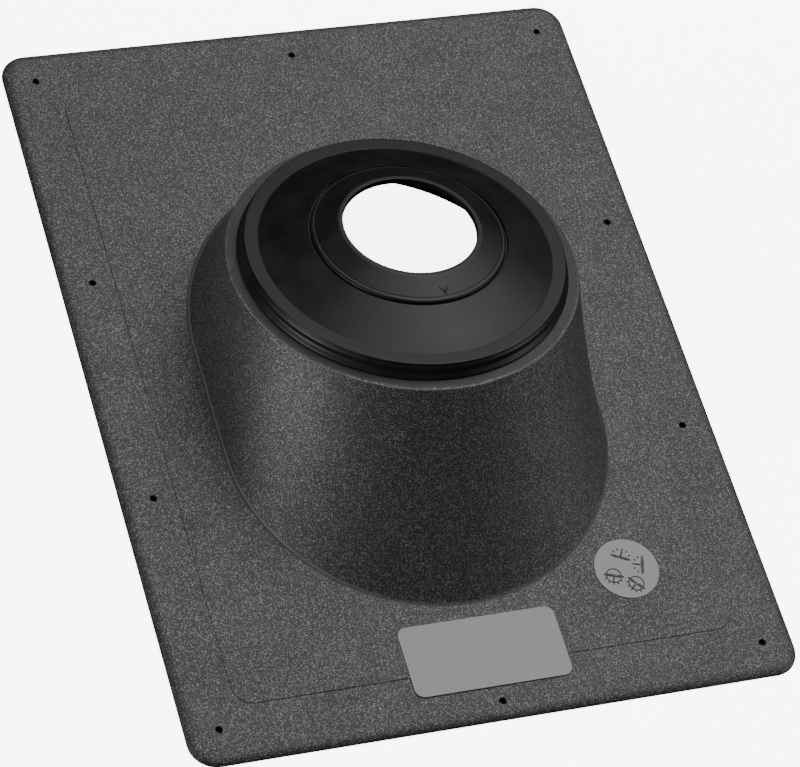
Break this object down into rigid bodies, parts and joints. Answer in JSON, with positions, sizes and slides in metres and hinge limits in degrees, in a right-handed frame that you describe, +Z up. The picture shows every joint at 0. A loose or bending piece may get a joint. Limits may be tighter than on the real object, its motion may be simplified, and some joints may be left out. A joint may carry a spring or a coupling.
{
  "type": "pipe flashing boot",
  "caption": "Flat rectangular roof flashing plate with a leaning moulded boot and a tilted rubber collar whose stepped cone seals round a vent pipe.",
  "frame": {"origin": "middle of the plate's underside", "axes": "+Z up and away from the roof, +Y up the roof's slope, +X to the right when looking up the roof"},
  "size_m": [0.3174, 0.4242, 0.0923],
  "materials": {
    "base_plastic": "moulded, fine grain",
    "collar_rubber": "moulded, smooth matt"
  },
  "bodies": {
    "root": {"flashing_base": "base_plastic", "pipe_collar": "collar_rubber"}
  },
  "joints": []
}
